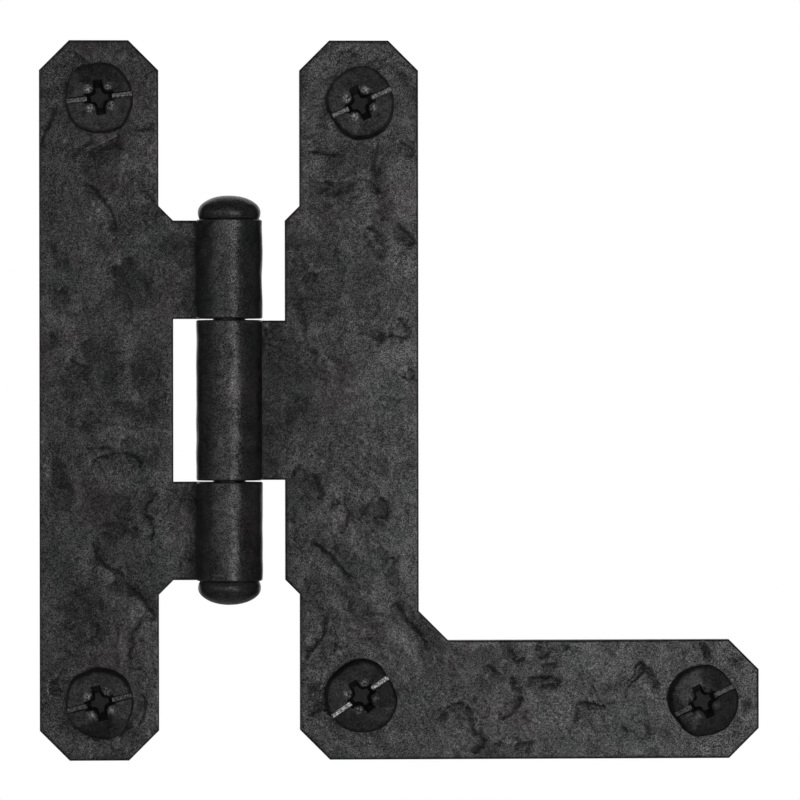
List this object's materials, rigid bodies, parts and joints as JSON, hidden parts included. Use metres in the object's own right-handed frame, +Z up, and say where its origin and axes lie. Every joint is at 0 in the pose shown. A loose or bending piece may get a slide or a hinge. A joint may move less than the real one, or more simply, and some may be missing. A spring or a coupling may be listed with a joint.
{
  "type": "hl cabinet hinge",
  "caption": "Flush black HL cabinet hinge: a plain strap leaf and an L-shaped leaf with rolled knuckles on a riveted pin, its hammered screws in their holes.",
  "frame": {"origin": "on the mounting plane, straight behind the pin's axis, at mid-height", "axes": "+Z up along the pin, +X towards the L leaf, +Y into the wood; the hinge's face looks towards -Y"},
  "size_m": [0.089, 0.0251, 0.0888],
  "materials": {
    "leaf": "matt textured black coating",
    "pin": "matt black coating",
    "screw": "blackened steel, bare where the slot is cut"
  },
  "bodies": {
    "frame_side": {"strap_leaf": "leaf", "hinge_pin": "pin", "screw_strap_top": "screw", "screw_strap_bottom": "screw"},
    "door_side": {"angle_leaf": "leaf", "screw_angle_top": "screw", "screw_angle_corner": "screw", "screw_angle_toe": "screw"}
  },
  "joints": [
    {"name": "leaf_swing", "type": "hinge", "parent": "frame_side", "child": "door_side", "pos_m": [0, -0.00405, 0], "axis": [0, 0, -1], "range_deg": [-70, 178]}
  ]
}
